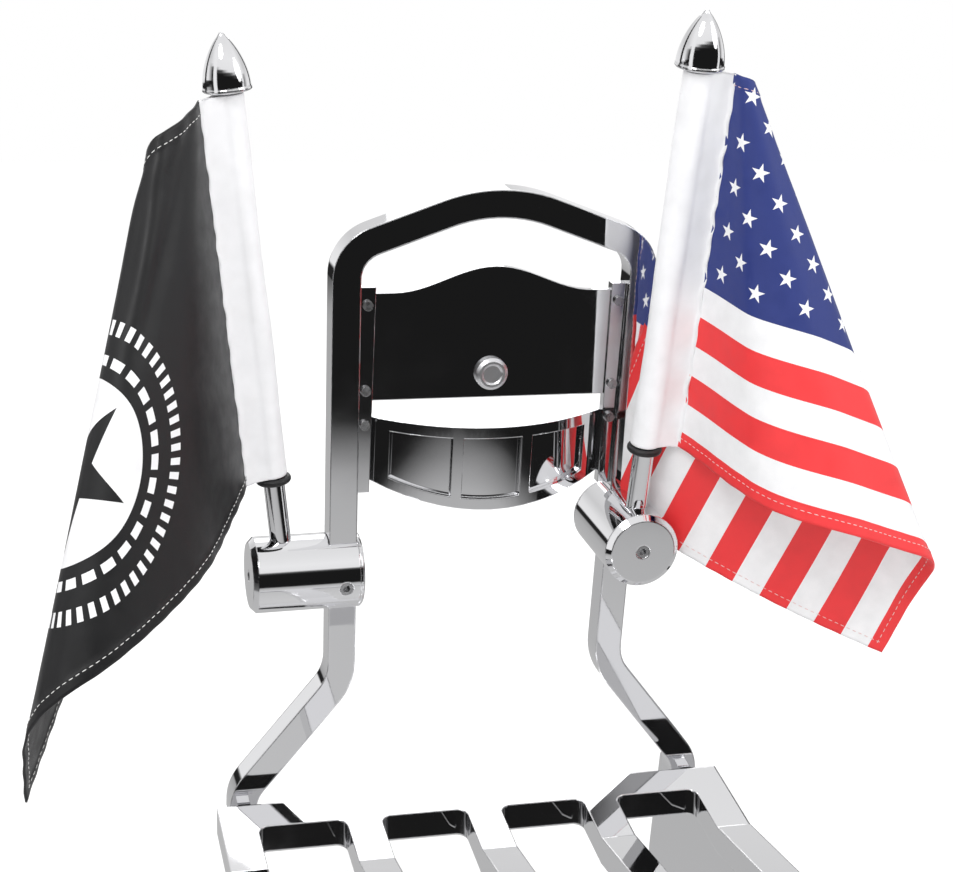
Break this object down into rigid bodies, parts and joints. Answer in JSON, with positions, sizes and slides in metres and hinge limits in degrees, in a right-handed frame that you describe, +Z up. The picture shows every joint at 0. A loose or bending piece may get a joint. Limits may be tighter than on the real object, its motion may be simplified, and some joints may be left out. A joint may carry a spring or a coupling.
{
  "type": "motorcycle passenger upright with rack and flag mounts",
  "caption": "Chromed square-bar passenger upright with a luggage rack and two clamp-on poles that carry small hanging flags.",
  "frame": {"origin": "middle of the rack's flat deck, on its top face, in the upright's plane of symmetry", "axes": "+X to the rider's right, +Y to the front of the vehicle, +Z up"},
  "size_m": [0.4085, 0.234, 0.4551],
  "materials": {
    "chrome": "polished",
    "pole_chrome": "polished",
    "screw_steel": "satin",
    "ring_rubber": "matte",
    "sleeve_cloth": "matte",
    "left_cloth": "satin",
    "right_cloth": "satin"
  },
  "bodies": {
    "upright": {"sissy_bar": "chrome", "luggage_rack": "chrome", "left_side_plate": "chrome", "right_side_plate": "chrome", "upper_plate": "chrome", "plate_button": "chrome", "lower_plate": "chrome", "left_bracket": "chrome", "right_bracket": "chrome", "bracket_screws": "screw_steel"},
    "left_clamp": {"left_clamp_body": "chrome", "left_clamp_cap": "chrome", "left_bar_screw": "screw_steel", "left_pole_screw": "screw_steel"},
    "left_staff": {"left_pole": "pole_chrome", "left_finial": "pole_chrome", "left_ring": "ring_rubber"},
    "left_cloth": {"left_sleeve": "sleeve_cloth", "left_flag": "left_cloth"},
    "right_clamp": {"right_clamp_body": "chrome", "right_clamp_cap": "chrome", "right_bar_screw": "screw_steel", "right_pole_screw": "screw_steel"},
    "right_staff": {"right_pole": "pole_chrome", "right_finial": "pole_chrome", "right_ring": "ring_rubber"},
    "right_cloth": {"right_sleeve": "sleeve_cloth", "right_flag": "right_cloth"}
  },
  "joints": [
    {"name": "left_clamp_height", "type": "slide", "parent": "upright", "child": "left_clamp", "axis": [-0.0151, -0.1426, 0.9897], "range_m": [-0.02, 0.015]},
    {"name": "left_pole_lift", "type": "slide", "parent": "left_clamp", "child": "left_staff", "axis": [-0.1265, -0.1415, 0.9818], "range_m": [0, 0.025]},
    {"name": "left_flag_swing", "type": "hinge", "parent": "left_staff", "child": "left_cloth", "pos_m": [-0.09175, 0.11686, 0.12352], "axis": [-0.1265, -0.1415, 0.9818], "range_deg": [-60, 40]},
    {"name": "right_clamp_height", "type": "slide", "parent": "upright", "child": "right_clamp", "axis": [0.0151, -0.1426, 0.9897], "range_m": [-0.035, 0.001]},
    {"name": "right_pole_lift", "type": "slide", "parent": "right_clamp", "child": "right_staff", "axis": [0.015, -0.252, 0.9676], "range_m": [0, 0.025]},
    {"name": "right_flag_swing", "type": "hinge", "parent": "right_staff", "child": "right_cloth", "pos_m": [0.06534, 0.08766, 0.13892], "axis": [0.015, -0.252, 0.9676], "range_deg": [-55, 0]}
  ]
}
